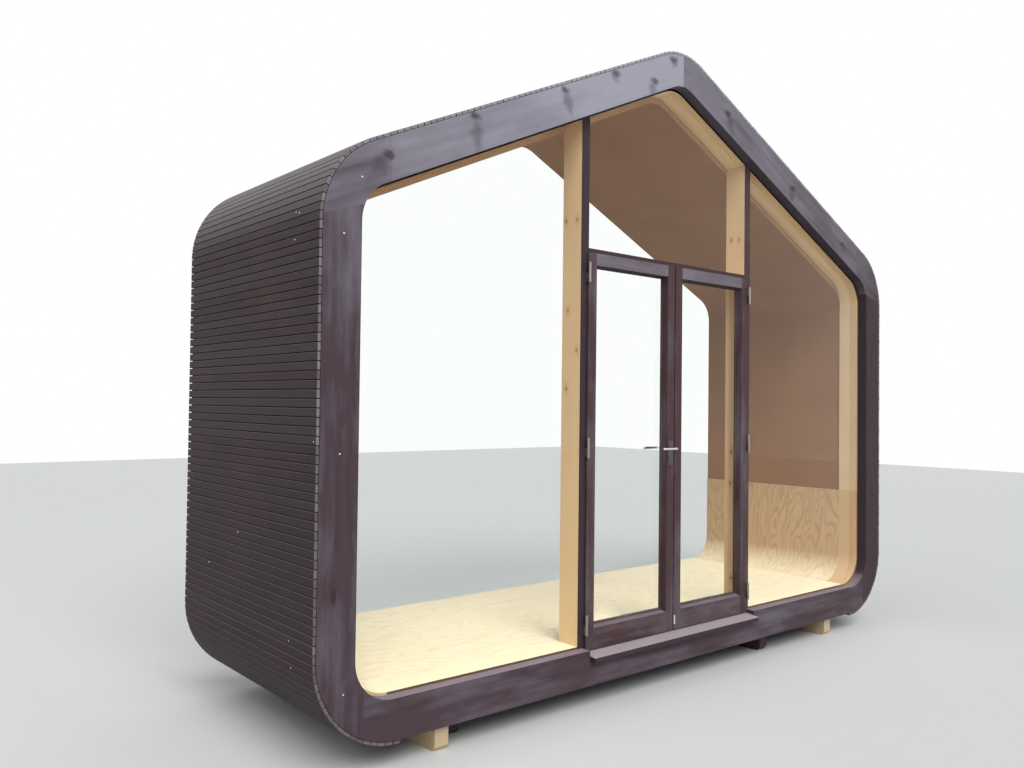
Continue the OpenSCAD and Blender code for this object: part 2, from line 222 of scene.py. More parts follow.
def looks(x, y, z):
    """Test for faces that look along an axis, or against it."""
    way = Vector((x, y, z))
    return lambda face: face.normal.dot(way) > SQUARE


def bevel(piece, kind, test, offset, segments):
    pick(piece, kind, test)
    bpy.ops.mesh.bevel(offset=offset, segments=segments)


def extrude(x, y, z):
    bpy.ops.mesh.extrude_region_move(TRANSFORM_OT_translate={"value": (x, y, z)})


def weld():
    """Joins verts that meet, and closes edit mode."""
    bpy.ops.mesh.select_all(action="SELECT")
    bpy.ops.mesh.remove_doubles(threshold=TOLERANCE)
    deselect()


def turn_outwards():
    """Makes every face look out, and closes edit mode."""
    bpy.ops.mesh.select_all(action="SELECT")
    bpy.ops.mesh.normals_make_consistent(inside=False)
    deselect()


def copy_of(piece, move):
    """A copy with a mesh of its own, moved by a matrix or by an offset."""
    twin = piece.copy()
    twin.data = piece.data.copy()
    twin.data.transform(move if isinstance(move, Matrix) else Matrix.Translation(move))
    bpy.context.scene.collection.objects.link(twin)
    return twin


def join(name, pieces):
    deselect()
    for piece in pieces:
        piece.select_set(True)
    bpy.context.view_layer.objects.active = pieces[0]
    bpy.ops.object.join()
    pieces[0].name = pieces[0].data.name = name
    return pieces[0]


def smooth(piece):
    make_active(piece)
    bpy.ops.object.shade_smooth_by_angle(angle=SHARP)


def triangles(piece):
    return sum(len(face.vertices) - 2 for face in piece.data.polygons)


print("helpers ready")

# %% [markdown]
# A finish is a node tree. Dragging nodes works, but a formula is easier to read, so one class
# wraps a socket and lets numbers and sockets be added or multiplied like any Python value, and
# one method makes every other node from its type, its settings and what its sockets are given.

# %% Shader helpers
def rgb(red, green, blue):
    """Colour of a shade written as 0 to 255, as a colour picker shows it."""
    return tuple(
        (c / 255 / 12.92) if c / 255 <= 0.04045 else ((c / 255 + 0.055) / 1.055) ** 2.4
        for c in (red, green, blue)
    ) + (1.0,)


def with_other(operation, swapped=False):
    """Method that makes a Math node of a field and another value."""

    def method(self, other):
        return self.math(operation, *((other, self) if swapped else (self, other)))

    return method


def alone(operation):
    """Method that makes a Math node of a field by itself."""
    return lambda self: self.math(operation, self)


class Field:
    """One output of a node, which can be used in sums."""

    def __init__(self, finish, socket):
        self.finish, self.socket = finish, socket

    def math(self, operation, *values):
        return self.finish.node("ShaderNodeMath", {"operation": operation}, dict(enumerate(values)))

    __add__ = __radd__ = with_other("ADD")
    __sub__, __rsub__ = with_other("SUBTRACT"), with_other("SUBTRACT", swapped=True)
    __mul__ = __rmul__ = with_other("MULTIPLY")
    __truediv__, __pow__, larger = map(with_other, ("DIVIDE", "POWER", "MAXIMUM"))
    __abs__, sin, floor, part = map(alone, ("ABSOLUTE", "SINE", "FLOOR", "FRACT"))

    def clip(self, low, high):
        """0 below low, 1 above high, and an even slope between."""
        sockets = {"Value": self, "From Min": low, "From Max": high}
        return self.finish.node("ShaderNodeMapRange", {"clamp": True}, sockets)


class Finish:
    """A material, or the world, under construction."""

    def __init__(self, name, kind="materials"):
        self.owner = getattr(bpy.data, kind).new(name)
        self.owner.use_nodes = True
        self.nodes, self.links = self.owner.node_tree.nodes, self.owner.node_tree.links
        self.nodes.clear()

    def node(self, kind, settings=None, sockets=None, out=0):
        node = self.nodes.new(kind)
        for key, value in (settings or {}).items():
            setattr(node, key, value)
        for key, value in (sockets or {}).items():
            if isinstance(value, Field):
                self.links.new(value.socket, node.inputs[key])
            else:
                node.inputs[key].default_value = value
        return Field(self, node.outputs[out]) if len(node.outputs) else node

    def place(self, turn=(0, 0, 0), move=(0, 0, 0)):
        """Object coordinates, turned and then moved."""
        sockets = {"Vector": self.node("ShaderNodeTexCoord", out="Object")}
        sockets.update({"Rotation": turn, "Location": move})
        return self.node("ShaderNodeMapping", {"vector_type": "POINT"}, sockets)

    def stretch(self, place, scales):
        return self.node("ShaderNodeVectorMath", {"operation": "MULTIPLY"}, {0: place, 1: scales})

    def split(self, place=None):
        """The three parts of a place, or of the object coordinates."""
        parts = self.node("ShaderNodeSeparateXYZ", None, {"Vector": place or self.place()})
        return [Field(self, socket) for socket in parts.socket.node.outputs]

    def facing(self):
        """The three parts of the way the surface faces."""
        return self.split(self.node("ShaderNodeNewGeometry", out="Normal"))

    def noise(self, place, scale, detail=2.0, rough=0.5):
        """Noise of one scale, or stretched by three."""
        if isinstance(scale, tuple):
            place, scale = self.stretch(place, scale), 1.0
        sockets = {"Vector": place, "Scale": scale, "Detail": detail, "Roughness": rough}
        return self.node("ShaderNodeTexNoise", {"noise_dimensions": "3D"}, sockets)

    def mix(self, share, a, b):
        """Colour a where share is 0 and b where it is 1."""
        settings = {"data_type": "RGBA", "clamp_factor": True}
        return self.node("ShaderNodeMix", settings, {0: share, 6: a, 7: b}, out=2)

    def layers(self, colour, layers):
        """A colour with others laid over it, each given by its share and its tone."""
        for share, tone in layers:
            colour = self.mix(share, colour, tone)
        return colour

    def surface(self, colour, roughness, height=None, depth=0.001, **constants):
        """The Principled shader, with bumps of a depth in metres where height goes from 0 to 1."""
        sockets = {"Base Color": colour, "Roughness": roughness}
        sockets.update({key.replace("_", " "): value for key, value in constants.items()})
        if height is not None:
            bump = {"Height": height, "Distance": depth, "Strength": 1.0}
            sockets["Normal"] = self.node("ShaderNodeBump", None, bump)
        return self.node("ShaderNodeBsdfPrincipled", None, sockets)

    def done(self, shader):
        self.node("ShaderNodeOutputMaterial", None, {"Surface": shader})
        return self.owner

    def painted(self, *values, **constants):
        """The material, with the Principled shader over all of it."""
        return self.done(self.surface(*values, **constants))


dressed = []


def give(piece, *finishes):
    """Sets a piece's finishes. Clearing the list forgets which face had which, so that is kept."""
    numbers = [min(face.material_index, len(finishes) - 1) for face in piece.data.polygons]
    piece.data.materials.clear()
    for finish in finishes:
        piece.data.materials.append(finish)
    piece.data.polygons.foreach_set("material_index", numbers)


def dress(finish, *names):
    """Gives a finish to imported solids, which keep their shape."""
    for name in names:
        give(frame["nodes"][name], finish)
    dressed.extend(names)
    return finish


print("shader helpers ready")

# %% [markdown]
# Timber is a stack of year rings round the pith of the tree, so the pattern is made in space:
# distance from a pith line that runs along the grain, bent by slow noise, gives rings that show
# as stripes, arches or end grain wherever a board is cut. Knots are cells of a Voronoi pattern
# that push the rings aside. A flat image could not turn a corner of a board like this.

# %% Timber pattern
def grain_place(finish, grain, pith):
    """Object coordinates with X along the grain: an angle above level in the front plane, or Y."""
    turn = (0, 0, -math.pi / 2) if grain == "Y" else (0, math.radians(grain), 0)
    return finish.place(turn, (0, -pith[0], -pith[1]))


def timber(finish, place, ring, knots, seed=0.0):
    """Late wood of the rings, knots, fibres and broad clouds, each from 0 to 1."""
    _, side, up = finish.split(place)
    slow = finish.noise(place, (0.9, 5, 5))
    wavy = finish.noise(place, (7, 16, 16))
    cells = finish.node(
        "ShaderNodeTexVoronoi",
        {"feature": "F1", "distance": "EUCLIDEAN"},
        {"Vector": finish.stretch(place, (1.6, 4.5, 4.5)), "Scale": 1.0, "Randomness": 1.0},
    )
    near = 1 - cells.clip(0.0, 0.28)
    radius = (side * side + up * up) ** 0.5
    rings = (radius + slow * 0.03 + wavy * 0.004 + near * near * 0.016 * knots) / ring
    late = (1 - abs((rings + seed).part() * 2 - 1)) ** 3.0
    knot = (1 - cells.clip(0.045, 0.075)) * knots
    fibres = finish.noise(place, (9, 420, 420), 3.0, 0.6)
    clouds = finish.noise(place, (2.2, 7, 7), 3.0, 0.6)
    return late, knot, fibres, clouds


PINE_LIGHT, PINE_LATE, PINE_KNOT = rgb(226, 194, 152), rgb(200, 158, 112), rgb(126, 78, 50)
PITH = (0.12, 0.05)


def bare_timber(
    name, grain, pith=PITH, light=PINE_LIGHT, late_tone=PINE_LATE, knot_tone=PINE_KNOT,
    ring=0.0055, knots=1.0, joint=None, foot=None, late_share=0.55, eyes=(), front_face_tone=None,
):
    """Joint is the depth of a thin dark line, foot the height below which a deeper piece begins,
    and eyes are small knots on the side of a post, by depth and height in millimetres. The tone
    front_face_tone darkens the faces that look to the front, below the glass."""
    finish = Finish(name)
    place = grain_place(finish, grain, pith)
    late, knot, fibres, clouds = timber(finish, place, ring, knots)
    _, deep, high = finish.split()
    layers = [
        (late * late_share + (clouds - 0.5) * 0.5, late_tone),
        ((fibres - 0.5) * 0.5, late_tone),
        (knot * 0.85, knot_tone),
    ]
    if joint is not None:
        layers.append(((1 - abs(deep - joint).clip(0.6 * MM, 1.6 * MM)) * 0.8, knot_tone))
    if foot is not None:
        off = high - foot
        layers.append(((1 - off.clip(-0.5 * MM, 0.5 * MM)) * 0.55, late_tone))
        layers.append(((1 - abs(off).clip(0.5 * MM, 1.2 * MM)) * 0.6, knot_tone))
    if front_face_tone is not None:
        layers.append(((0 - finish.facing()[1]).clip(0.5, 0.9), front_face_tone))
    for y_eye, z_eye in eyes:
        off_y, off_z = deep - y_eye * MM, high - z_eye * MM
        halo = (off_y * off_y + off_z * off_z * 0.25) ** 0.5
        eye = (off_y * off_y + off_z * off_z) ** 0.5 + fibres * 8 * MM
        layers.append(((1 - halo.clip(8 * MM, 26 * MM)) * 0.6, late_tone))
        layers.append(((1 - eye.clip(7 * MM, 17 * MM)) * 0.7, knot_tone))
    colour, height = finish.layers(light, layers), late * 0.5 + fibres * 0.5
    return finish.painted(colour, 0.52 + fibres * 0.16, height, 0.0004, Specular_IOR_Level=0.35)


# %% Pine finishes
LEFT_EYES = [(-499, 2544), (-583, 2544), (-518, 2066), (-588, 1854), (-512, 1651)]
RIGHT_EYES = [(-515, 2632), (-572, 2625), (-525, 1278), (-519, 1080), (-531, 481)]
SHADED_PINE_LIGHT, SHADED_PINE_LATE = rgb(216, 183, 144), rgb(190, 148, 106)
DEEP_PITH, LEVEL_PITH, BEARER_PITH = (0.16, 0.02), (0.1, 0.3), (0.03, -0.02)
LIT_PINE_TONES = rgb(241, 225, 192), rgb(229, 205, 166), rgb(170, 128, 90)
DARK_LINE_DEPTH = SLEEVE_Y - MM
dress(bare_timber("pine_upright", 90, late_share=0.75, eyes=LEFT_EYES), "post_left")
# Painted shade: the right post takes a darker copy of the pine
dress(
    bare_timber(
        "pine_deeper", 90, DEEP_PITH, SHADED_PINE_LIGHT, SHADED_PINE_LATE, late_share=0.75, eyes=RIGHT_EYES
    ),
    "post_right",
)
# Painted shade: the right jamb takes a darker copy of the pine
dress(
    bare_timber(
        "pine_jamb", 90, DEEP_PITH, rgb(212, 184, 151), SHADED_PINE_LATE,
        knots=0.0, foot=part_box("ply_lining_right")[1].z,
    ),
    "pine_jamb_right",
)
dress(bare_timber("pine_level", 0, LEVEL_PITH), "pine_header")
# Painted light: the sill takes a paler copy of the pine
dress(
    bare_timber(
        "pine_pale", 0, LEVEL_PITH, *LIT_PINE_TONES, knots=0.5, front_face_tone=rgb(142, 116, 102)
    ),
    "pine_sill",
)
# Painted light: the left jamb takes a paler copy of the pine
dress(bare_timber("pine_pale_upright", 90, PITH, *LIT_PINE_TONES, knots=0.5), "pine_jamb_left")
# Painted light: the left rafter's pine takes a paler copy, for its lit underside
dress(
    bare_timber(
        "pine_rake_left", ROOF_ANGLE, PITH, rgb(244, 208, 172), rgb(222, 176, 134), joint=DARK_LINE_DEPTH
    ),
    "pine_rafter_left",
)
dress(bare_timber("pine_rake_right", -ROOF_ANGLE, joint=DARK_LINE_DEPTH), "pine_rafter_right")
dress(
    bare_timber(
        "bearer_pine", "Y", BEARER_PITH, rgb(206, 184, 148), rgb(176, 146, 104), ring=0.006
    ),
    "bearers",
)
print("packed solids in pine:", len(dressed))

# %% [markdown]
# The face boards and doors carry a thin dark stain. It sinks into soft early wood and leaves
# late wood and knots darker, and it clouds where the brush overlapped. Faces that look up and the
# higher boards are paler by painted light, and the undersides darker by painted shade. Each board
# gets the same recipe with its own grain direction and its own shift of tone, because one shared
# pattern would run on through the joints; on some boards that shift is painted shade. The big
# knots near the upper edge are set one by one: a dark eye, and a dark band that leaves it across
# the board.

# %% Stained timber
# STAIN_PALE is the tone of the stain's pale clouds, and its bluish grey is also the painted light
# on the higher boards
STAIN_MID, STAIN_DARK, STAIN_PALE = rgb(75, 60, 66), rgb(48, 36, 42), rgb(166, 164, 177)
DOOR_MID, PAINTED_LIGHT_HEIGHTS = rgb(79, 58, 60), (1.9, 3.5)
SLEEVE_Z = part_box("cardboard_sleeve")[0].z
# Each knot: its eye and the far end of its band, in mm from the middle and the sleeve's underside
LEFT_KNOTS = [
    ((-1507, 2784), (-1490, 2618)), ((-941, 3044), (-895, 2937)), ((-567, 3221), (-590, 3190)),
    ((-257, 3260), (-277, 3176)), ((-93, 3418), (-60, 3400)), ((-1977, 2512), (-2064, 2408)),
]
RIGHT_KNOTS = [
    ((420, 3225), (470, 3120)), ((1130, 2890), (1110, 2800)), ((1760, 2600), (1800, 2560)),
]


def knot_marks(finish, knots):
    """0 away from the knots and 1 in them."""
    place = finish.place()
    swirl = finish.noise(place, (30, 30, 30), 4.0, 0.65)
    x, _, z = finish.split(place)
    marks = None
    for (x0, z0), (x1, z1) in knots:
        run = Vector(((x1 - x0) * MM, (z1 - z0) * MM))
        off_x, off_z = x - x0 * MM, z - (SLEEVE_Z + z0 * MM)
        eye = ((off_x * off_x + off_z * off_z * 2.5) ** 0.5 + swirl * 0.06).clip(0.046, 0.07)
        t = (off_x * run.x + off_z * run.y) / run.length_squared
        side = abs(off_x * run.y - off_z * run.x) / run.length
        band = (side + swirl * 0.08 + abs(t - 0.5) * 0.06).clip(0.055, 0.095)
        mark = (1 - eye).larger((1 - band) * 0.6)
        marks = mark if marks is None else marks.larger(mark)
    return marks


def stained(
    name, grain, pith, pale=0.0, painted_light_with_height=0.0, mid=STAIN_MID, ring=0.0075, knots=1.0, seed=0.0,
    big_knots=(), painted_lit_top=rgb(132, 119, 124),
):
    """Pale shifts the whole board's tone, on some boards as painted shade. The share bleach is
    painted light that grows with height, and painted_lit_top is painted light on faces that look
    up.
    """
    finish = Finish(name)
    place = grain_place(finish, grain, pith)
    late, knot, fibres, clouds = timber(finish, place, ring, knots, seed)
    strokes = finish.noise(place, (1.4, 26, 26))
    facing = finish.facing()[2]
    # Painted light: the boards grow paler with height
    high = finish.split()[2].clip(*PAINTED_LIGHT_HEIGHTS) * painted_light_with_height
    if big_knots:
        knot = knot.larger(knot_marks(finish, big_knots))
    colour = finish.layers(mid, [
        (late * 0.3 + (fibres - 0.5) * 0.5 + max(0, -pale), STAIN_DARK),
        ((clouds - 0.45) * 0.7 + (strokes - 0.5) * 0.3 + high + pale, STAIN_PALE),
        # Painted light: faces that look up are paler
        (facing.clip(0.5, 1.0) * 0.8, painted_lit_top),
        # Painted shade: faces that look down are darker
        ((0 - facing).clip(0.3, 0.9) * 0.75, STAIN_DARK),
        (knot * 0.7, STAIN_DARK),
    ])
    height = late * 0.4 + fibres * 0.4 + strokes * 0.2
    rough = 0.52 + (fibres - 0.5) * 0.3 + clouds * 0.1
    return finish.painted(colour, rough, height, 0.0004, Specular_IOR_Level=0.18)


# %% Face boards and door timber
ROOF_PITH = (0.08, 3.15)
# Painted light grows with height on the left stile and the roof boards, the rail's top is painted
# paler, and the right stile's tone is lowered as painted shade
FACE_BOARDS = {
    "rail": dict(grain=0, pith=(0.07, 0.16), seed=0.3, painted_lit_top=rgb(156, 140, 144)),
    "stile_left": dict(grain=90, pith=(0.05, 2.24), painted_light_with_height=0.6, seed=0.1),
    "stile_right": dict(grain=90, pith=(0.05, -2.1), pale=-0.55, seed=0.5),
    "eave_left": dict(
        grain=ROOF_ANGLE, pith=ROOF_PITH, pale=-0.28, painted_light_with_height=1.5, seed=0.7, big_knots=LEFT_KNOTS[5:]
    ),
    "eave_right": dict(grain=-ROOF_ANGLE, pith=(0.09, 2.9), pale=-0.06, painted_light_with_height=0.36, seed=0.2),
    "rafter_left": dict(
        grain=ROOF_ANGLE, pith=ROOF_PITH, pale=-0.05, painted_light_with_height=1.15, seed=0.9, big_knots=LEFT_KNOTS
    ),
    "rafter_right": dict(
        grain=-ROOF_ANGLE, pith=ROOF_PITH, pale=-0.02, painted_light_with_height=0.42, seed=0.4, big_knots=RIGHT_KNOTS
    ),
}
for board, settings in FACE_BOARDS.items():
    dress(stained("stain_" + board, **settings), "face_" + board)

# Door and frame timber is clear of knots and has narrow rings
FINE = dict(pith=(0.02, 0.4), ring=0.004, knots=0.0)
stain_upright = dress(
    stained("stain_upright", 90, mid=DOOR_MID, **FINE),
    "mullion_right", "left_hinge_stile", "left_lock_stile", "right_hinge_stile", "right_lock_stile",
)
# Painted shade: the left mullion takes a darker copy of the door timber
dress(stained("stain_mullion", 90, pale=-0.4, **FINE), "mullion_left")
dress(stained("stain_transom", 0, pale=-0.25, mid=DOOR_MID, **FINE), "transom")
for name, rail, pale in (("top_rails", "top_rail", 0.3), ("level", "bottom_rail", 0.06)):
    finish = stained("stain_" + name, 0, pale=pale, mid=DOOR_MID, **FINE)
    dress(finish, "left_" + rail, "right_" + rail)
# Painted light: the sill's top is painted paler
dress(
    stained(
        "stain_sill", 0, (0.05, -0.1), -0.5, ring=0.005, knots=0.0, painted_lit_top=rgb(196, 184, 188)
    ),
    "door_sill",
)
stain_bearer = stained("stain_bearer", "Y", BEARER_PITH, -0.2, ring=0.006, knots=0.0)
print("packed solids in pine or stained timber:", len(dressed))

# %% [markdown]
# Cardboard is wound in layers round the mould, so its flutes run from front to back. Every other
# one presses through the inner liner as a fine level line, and the cut rear edge shows every
# layer as a wave between two papers, with painted shade in the hollows, while the front edge is
# taped over. Both patterns follow the outline, which no plain coordinate does, so the sleeve gets
# a UV map in metres: length round the outline, and depth.

# %% Cardboard finishes
FLUTE, LAYER, RIDGE = 8.2 * MM, 7.2 * MM, 17 * MM
KRAFT, KRAFT_DARK, KRAFT_PALE = rgb(146, 108, 81), rgb(114, 80, 57), rgb(170, 131, 100)
# Painted shade: the dark of the hollows between the papers on the cut edge
HOLLOW_SHADE = rgb(80, 59, 43)


def uv_place(finish):
    return finish.node("ShaderNodeTexCoord", out="UV")


def cardboard_face():
    finish = Finish("cardboard_face")
    place = uv_place(finish)
    round_at = finish.split(place)[0]
    wobble = finish.noise(place, (5, 1.5, 1), 1.0)
    flute = ((round_at / RIDGE + wobble * 0.25) * (2 * math.pi)).sin() * 0.5 + 0.5
    paper = finish.noise(place, (90, 30, 1), 3.0, 0.6)
    broken = finish.noise(place, (6, 2.5, 1))
    clouds = finish.noise(place, (1.2, 2.6, 1), 3.0, 0.55)
    colour = finish.layers(KRAFT, [
        (flute * broken.clip(0.3, 0.65) * 0.42 + (paper - 0.5) * 0.1, KRAFT_DARK),
        ((clouds - 0.4) * 0.8, KRAFT_PALE),
    ])
    return finish.painted(colour, 0.82 + paper * 0.06, clouds, 0.0003, Specular_IOR_Level=0.15)


def cardboard_edge():
    finish = Finish("cardboard_edge")
    place = uv_place(finish)
    round_at, inset, _ = finish.split(place)
    layer = inset / LAYER
    shift = finish.node("ShaderNodeTexWhiteNoise", {"noise_dimensions": "1D"}, {"W": layer.floor()})
    bend = finish.noise(place, (30, 60, 1), 1.0)
    wave = ((round_at / FLUTE + shift + bend * 0.3) * (2 * math.pi)).sin() * 0.36 + 0.5
    height = layer.part()
    paper = 1 - abs(height - wave).clip(0.08, 0.2)
    liner = 1 - (0.5 - abs(height - 0.5)).clip(0.06, 0.13)
    solid = paper.larger(liner)
    dust = finish.noise(place, (240, 240, 1), 3.0)
    colour = finish.layers(HOLLOW_SHADE, [(solid, KRAFT_PALE), ((dust - 0.5) * 0.9, KRAFT)])
    return finish.painted(colour, 0.85, solid, 0.002, Specular_IOR_Level=0.2)


def cardboard_tape():
    """Paper that covers the front edge, next to the pine frame."""
    finish = Finish("cardboard_tape")
    paper = finish.noise(finish.place(), 120.0, 3.0, 0.6)
    creases = finish.noise(finish.place(), 9.0, 3.0, 0.6)
    colour = finish.mix((creases - 0.4) * 0.9 + (paper - 0.5) * 0.3, rgb(186, 150, 114), KRAFT_PALE)
    return finish.painted(colour, 0.75 + paper * 0.1, creases, 0.0005, Specular_IOR_Level=0.2)


kraft, kraft_edge, kraft_tape = cardboard_face(), cardboard_edge(), cardboard_tape()
print("cardboard finishes:", kraft.name, kraft_edge.name, kraft_tape.name)

# %% [markdown]
# Plywood shows one peeled veneer: the knife runs along the rings, which gives wide arches and
# islands instead of stripes. Contour lines of a slow, stretched noise look just like that. The
# bent sheets read the UV map, so the arches run through the bend, and the floor reads its place.
# The floor is a paler, lit copy of the wall's veneer, by painted light.

# %% Plywood finish
LIT_FLOOR_PALE, LIT_FLOOR_DARK = rgb(241, 227, 196), rgb(212, 184, 140)
PLY_LIGHT, PLY_LATE, PLY_DARK = rgb(196, 163, 125), rgb(179, 142, 103), rgb(138, 101, 69)


def plywood(name, light, late_tone, dark_tone, mapped, strength):
    """One veneer. Where a mapped sheet bends to face up, painted light turns it to the lit floor's
    tone.
    """
    finish = Finish(name)
    place = uv_place(finish) if mapped else finish.place()
    _, across, _ = finish.split(place)
    slow = finish.noise(place, (2.8, 11.0, 3), 1.0, 0.4)
    broad = finish.noise(place, (1.6, 4.5, 3), 1.0)
    fine = finish.noise(place, (24, 60, 3))
    rings = slow * 7 + broad * 4 + across * 9 + fine * 0.25
    late = (1 - abs(rings.part() * 2 - 1)) ** 2.2
    pores = finish.noise(place, (16, 500, 3), 3.0, 0.6)
    streaks = finish.noise(place, (1.2, 45, 3))
    clouds = finish.noise(place, (1.5, 3.0, 3))
    colour = finish.layers(light, [
        ((clouds - 0.5) * 0.6 + (streaks - 0.5) * 1.2, late_tone),
        (late * strength, dark_tone),
        ((pores - 0.45) * 0.8, late_tone),
    ])
    # Painted light: where a mapped sheet bends to face up it turns to the lit floor's tone
    if mapped:
        up = finish.facing()[2].clip(0.1, 1.0)
        colour = finish.mix(up * 0.75, colour, finish.mix(late * strength, LIT_FLOOR_PALE, LIT_FLOOR_DARK))
    return finish.painted(
        colour, 0.5 + pores * 0.12, late * 0.3 + pores * 0.7, 0.0003, Specular_IOR_Level=0.35
    )


# Painted light: the floor is a paler, lit copy of the wall's plywood
dress(plywood("floor_ply", LIT_FLOOR_PALE, rgb(232, 208, 168), LIT_FLOOR_DARK, False, 0.36), "ply_floor")
wall_ply = plywood("wall_ply", PLY_LIGHT, PLY_LATE, PLY_DARK, True, 0.45)
print("plywood in the linings:", wall_ply.name)

# %% [markdown]
# Slats, slat ends, membrane, metal, rubber and glass. Every slat was sawn and dipped by itself,
# so a random tone is stored on each one and mixed in, and a slow patchiness runs across them all.
# The end grain drank less stain and stays grey, so the ends are a finish of their own. The slats
# are darker towards the bottom by painted shade, and paler where they face up and near the ridge
# by painted light.

# %% Slat finishes
PAINTED_SHADE_HEIGHTS, RIDGE_HEIGHTS = (0.3, 1.5), (2.4, 3.3)


def slat_finish(name, mid, dark, warm, painted_lit_tone, roof=0.0):
    """Painted light: roof is how much paler the boards are painted with height, up at the ridge."""
    finish = Finish(name)
    place = finish.place((0, 0, -math.pi / 2))
    tone = finish.node("ShaderNodeAttribute", {"attribute_name": "tone"}, out="Fac")
    fibres = finish.noise(place, (11, 420, 420), 3.0, 0.6)
    streaks = finish.noise(place, (1.8, 70, 70))
    patches = finish.noise(place, (2.4, 1.3, 1.3), 3.0, 0.6)
    high = finish.split()[2]
    colour = finish.layers(mid, [
        (tone * 0.7 + (fibres - 0.5) * 0.6, dark),
        ((patches - 0.45) * 2.6 + (tone - 0.5) * 0.7, warm),
        ((streaks - 0.5) * 0.9, dark),
        # Painted shade: darker towards the bottom
        ((1 - high.clip(*PAINTED_SHADE_HEIGHTS)) * 0.4, dark),
        # Painted light: paler where the slats face up
        (finish.facing()[2].clip(0.0, 0.6) * 0.62, painted_lit_tone),
        # Painted light: paler near the ridge
        (high.clip(*RIDGE_HEIGHTS) * roof, painted_lit_tone),
    ])
    rough, height = 0.6 + (fibres - 0.5) * 0.3, fibres * 0.7 + streaks * 0.3
    return finish.painted(colour, rough, height, 0.0004, Specular_IOR_Level=0.1)


slat_stain = slat_finish(
    "slat_stain", rgb(64, 55, 58), rgb(46, 38, 42), rgb(72, 53, 54), rgb(134, 130, 134)
)
slat_ends = slat_finish(
    "slat_ends", rgb(138, 128, 130), rgb(82, 70, 74), rgb(112, 94, 94), rgb(190, 184, 192), roof=0.7
)


# %% Metal, rubber, membrane and glass
def steel_finish(name, shade, rough):
    finish = Finish(name)
    place = finish.place()
    brushed = finish.noise(place, (60, 60, 900))
    smudges = finish.noise(place, 34.0, 3.0, 0.6)
    colour = finish.mix((smudges - 0.5) * 0.7, shade, rgb(150, 148, 146))
    roughness = rough + (brushed - 0.5) * 0.16 + (smudges - 0.5) * 0.14
    return finish.painted(colour, roughness, brushed, 0.00005, Metallic=1.0)


def dull_finish(name, shade, other, scale, rough):
    finish = Finish(name)
    speckle = finish.noise(finish.place(), scale, 4.0, 0.6)
    colour = finish.mix((speckle - 0.4) * 1.6, shade, other)
    return finish.painted(colour, rough + speckle * 0.1, speckle, 0.0002)


def glass_finish():
    finish = Finish("clear_glass")
    smear = finish.noise(finish.place(), (3, 3, 1.2), 4.0, 0.6)
    pane = finish.surface(
        rgb(251, 254, 252), smear.clip(0.5, 1.0) * 0.015, Transmission_Weight=1.0, IOR=1.2
    )
    shadow = finish.node("ShaderNodeLightPath", out="Is Shadow Ray")
    clear = finish.node("ShaderNodeBsdfTransparent", None, {"Color": rgb(252, 254, 253)})
    return finish.done(finish.node("ShaderNodeMixShader", None, {0: shadow, 1: pane, 2: clear}))


dress(steel_finish("brushed_steel", rgb(226, 226, 229), 0.26), "lever_handle", "bolt_plate")
hinge_steel = dress(
    steel_finish("hinge_steel", rgb(154, 150, 145), 0.4),
    "hinge_pins", "left_knuckles", "right_knuckles",
)
# Painted reflection: the plates' steel is coloured dark, for the dark room it mirrors
plate_metal_painted_dark = dress(steel_finish("dark_plate_steel", rgb(104, 94, 100), 0.4), "handle_plates")
screw_steel = steel_finish("screw_steel", rgb(225, 225, 226), 0.2)
rubber = dull_finish("black_rubber", rgb(28, 27, 28), rgb(40, 39, 40), 90.0, 0.6)
membrane_black = dull_finish("membrane_black", rgb(24, 23, 24), rgb(36, 34, 35), 60.0, 0.75)
filler = dull_finish("wood_filler", rgb(66, 54, 58), rgb(92, 80, 84), 300.0, 0.6)
dress(
    glass_finish(),
    "window_glass_left", "window_glass_right", "toplight_glass", "left_door_glass",
    "right_door_glass",
)
print("packed solids finished so far:", len(dressed))

# %% [markdown]
# Every imported solid now has a finish, some with painted light or shade. Only the bearers take
# two: the outer pair is bare pine and the pair between them is darker.

# %% Dark bearers
DARK_FROM, DARK_TO = -1.56, 1.3
bearers = frame["nodes"]["bearers"]
bearers.data.materials.append(stain_bearer)
for face in bearers.data.polygons:
    face.material_index = int(DARK_FROM < face.center.x < DARK_TO)
print("packed solids finished:", len(dressed))

# %% [markdown]
# The slats are the pod's skin: some 270 boards of 34 by 13 mm that run from front to back, some
# four millimetres apart, all round the outline. An array along a curve would squeeze them in the
# corners, so one slat is modelled, its long edges are eased, and copies are set along the outline
# at an even pitch, turned square to it. Each copy gets its tone and a hair of unevenness.

# %% One slat
SLAT_PITCH, SLAT_W, SLAT_DEEP = 38.24 * MM, 34 * MM, 13 * MM
SLATS_A_SIDE = 135
SLAT_EASED, SLAT_RIM = 1.5 * MM, 0.8 * MM
model_slat = add_box("slat", (-SLAT_W / 2, FRONT_Y, -SLAT_DEEP), (SLAT_W / 2, REAR_Y, 0))
bevel(
    model_slat, "edges",
    lambda e: abs((e.verts[0].co - e.verts[1].co).normalized().y) > SQUARE, SLAT_EASED, 2,
)
pick(model_slat, "faces", lambda f: abs(f.normal.y) > SQUARE)
bpy.ops.mesh.inset(thickness=SLAT_RIM, depth=0)
deselect()
for face in model_slat.data.polygons:
    face.material_index = int(abs(face.normal.y) > SQUARE)
give(model_slat, slat_stain, slat_ends)
print("one slat:", triangles(model_slat), "triangles")

# %% All slats
SUNK, SUNK_MORE, SLIDE, SHORTER = 0.4, 0.5, 0.9, 2.2  # millimetres
rng = random.Random(7)


